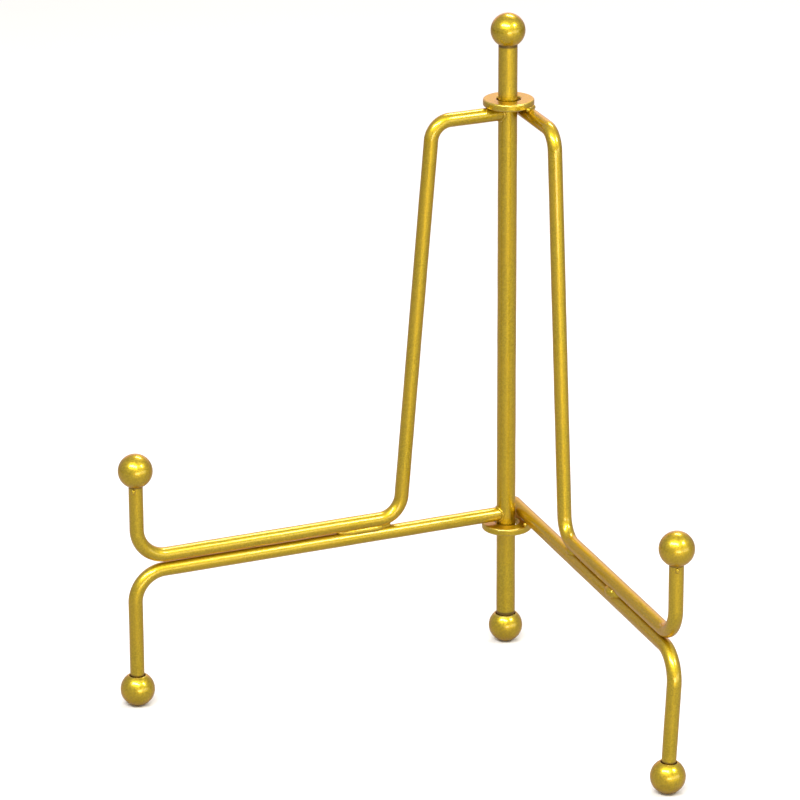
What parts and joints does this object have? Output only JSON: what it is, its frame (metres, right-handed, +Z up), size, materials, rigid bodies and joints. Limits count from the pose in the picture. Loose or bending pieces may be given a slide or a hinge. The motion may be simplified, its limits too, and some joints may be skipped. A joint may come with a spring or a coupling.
{
  "type": "folding display easel",
  "caption": "Folding wire easel for an album, plate or picture: a ball-footed post with one welded wing and one that swings round it on washers.",
  "frame": {"origin": "on the post's axis, at the level the three feet stand on, at the rear foot's flat", "axes": "+Z up along the post; -Y out of the open front, halfway between the wings as set; +X towards the right wing, the one that swings"},
  "size_m": [0.1868, 0.1087, 0.2087],
  "materials": {
    "rod_paint": "satin metallic gold paint over steel wire and rod",
    "ball_paint": "satin metallic gold paint over turned steel balls",
    "washer_paint": "satin metallic gold paint over flat steel washers",
    "weld_paint": "satin metallic gold paint over small lumpy weld beads"
  },
  "bodies": {
    "post_and_left_wing": {"post": "rod_paint", "rear_foot_ball": "ball_paint", "top_ball": "ball_paint", "left_lower_wire": "rod_paint", "left_upper_wire": "rod_paint", "left_foot_ball": "ball_paint", "left_hook_ball": "ball_paint", "weld_left_arm_to_post": "weld_paint", "weld_left_top_arm_to_post": "weld_paint", "weld_left_ledge": "weld_paint"},
    "right_wing": {"upper_washer": "washer_paint", "lower_washer": "washer_paint", "right_lower_wire": "rod_paint", "right_upper_wire": "rod_paint", "right_foot_ball": "ball_paint", "right_hook_ball": "ball_paint", "weld_upper_washer": "weld_paint", "weld_lower_washer": "weld_paint", "weld_right_ledge_inner": "weld_paint", "weld_right_ledge_outer": "weld_paint"}
  },
  "joints": [
    {"name": "right_wing_swing", "type": "hinge", "parent": "post_and_left_wing", "child": "right_wing", "pos_m": [0, 0, 0.11], "axis": [0, 0, 1], "range_deg": [-82.5, 94]}
  ]
}
